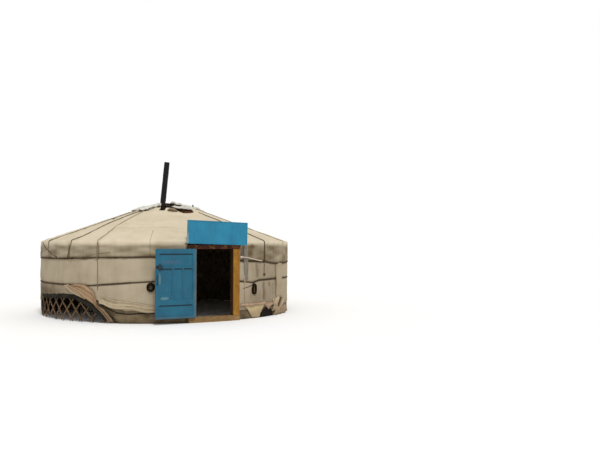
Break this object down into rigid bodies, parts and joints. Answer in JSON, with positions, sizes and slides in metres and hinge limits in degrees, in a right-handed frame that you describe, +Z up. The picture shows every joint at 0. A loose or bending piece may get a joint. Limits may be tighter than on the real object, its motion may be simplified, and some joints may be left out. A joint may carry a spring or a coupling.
{
  "type": "yurt",
  "caption": "Round felt tent on a wooden lattice, with poled roof, roped canvas covers, open crown, stovepipe, bare sign box and a hinged panelled door.",
  "frame": {"origin": "on the ground, on the axis of the round wall", "axes": "+Z up; the doorway faces -Y; +X is to the right of someone facing the door"},
  "size_m": [6.1824, 6.2702, 3.813],
  "materials": {
    "lath_wood": "weathered, bare",
    "wall_felt": "matted wool felt",
    "wall_canvas": "weathered cotton canvas",
    "roof_canvas": "sun-bleached cotton canvas",
    "pole_wood": "painted and worn",
    "rope": "twisted horsehair",
    "crown_wood": "painted and worn",
    "post_wood": "painted and worn",
    "flap_cloth": "weathered cloth",
    "skirt_cloth": "stained cotton cloth",
    "peg_wood": "worn green paint",
    "pipe_steel": "sooty sheet steel",
    "ochre_wood": "weathered varnish",
    "red_wood": "worn paint",
    "pale_wood": "bare, scuffed",
    "blue_paint": "worn gloss paint",
    "sign_blue": "faded paint",
    "dark_steel": "worn"
  },
  "bodies": {
    "tent": {"crown_flap": "flap_cloth", "crown_peg": "peg_wood", "crown_post_left": "post_wood", "crown_post_right": "post_wood", "crown_rim": "crown_wood", "crown_spokes": "crown_wood", "door_lintel": "red_wood", "door_post_left": "ochre_wood", "door_post_right": "ochre_wood", "door_sill": "pale_wood", "frame_hinges": "dark_steel", "ground_skirt": "skirt_cloth", "khana_1": "lath_wood", "khana_2": "lath_wood", "khana_3": "lath_wood", "khana_4": "lath_wood", "khana_5": "lath_wood", "pipe_collar": "dark_steel", "roof_canvas_front": "roof_canvas", "roof_canvas_left": "roof_canvas", "roof_canvas_right": "roof_canvas", "roof_felt_back": "wall_felt", "roof_felt_front": "wall_felt", "roof_poles": "pole_wood", "roof_ropes": "rope", "rope_coil_left": "rope", "rope_coil_right": "rope", "sign_board": "sign_blue", "sign_bracket": "dark_steel", "stovepipe_lower": "pipe_steel", "stovepipe_middle": "pipe_steel", "stovepipe_upper": "pipe_steel", "wall_canvas_back": "wall_canvas", "wall_canvas_left": "wall_canvas", "wall_canvas_right": "wall_canvas", "wall_felt_1": "wall_felt", "wall_felt_2": "wall_felt", "wall_felt_3": "wall_felt", "wall_felt_4": "wall_felt", "wall_felt_5": "wall_felt", "wall_ropes": "rope"},
    "door_leaf": {"leaf_frame": "blue_paint", "leaf_hinges": "dark_steel", "leaf_latch": "dark_steel", "leaf_panels": "blue_paint"}
  },
  "joints": [
    {"name": "door_hinge", "type": "hinge", "parent": "tent", "child": "door_leaf", "pos_m": [-0.445, -3.148, 0], "axis": [0, 0, 1], "range_deg": [0, 184]}
  ]
}
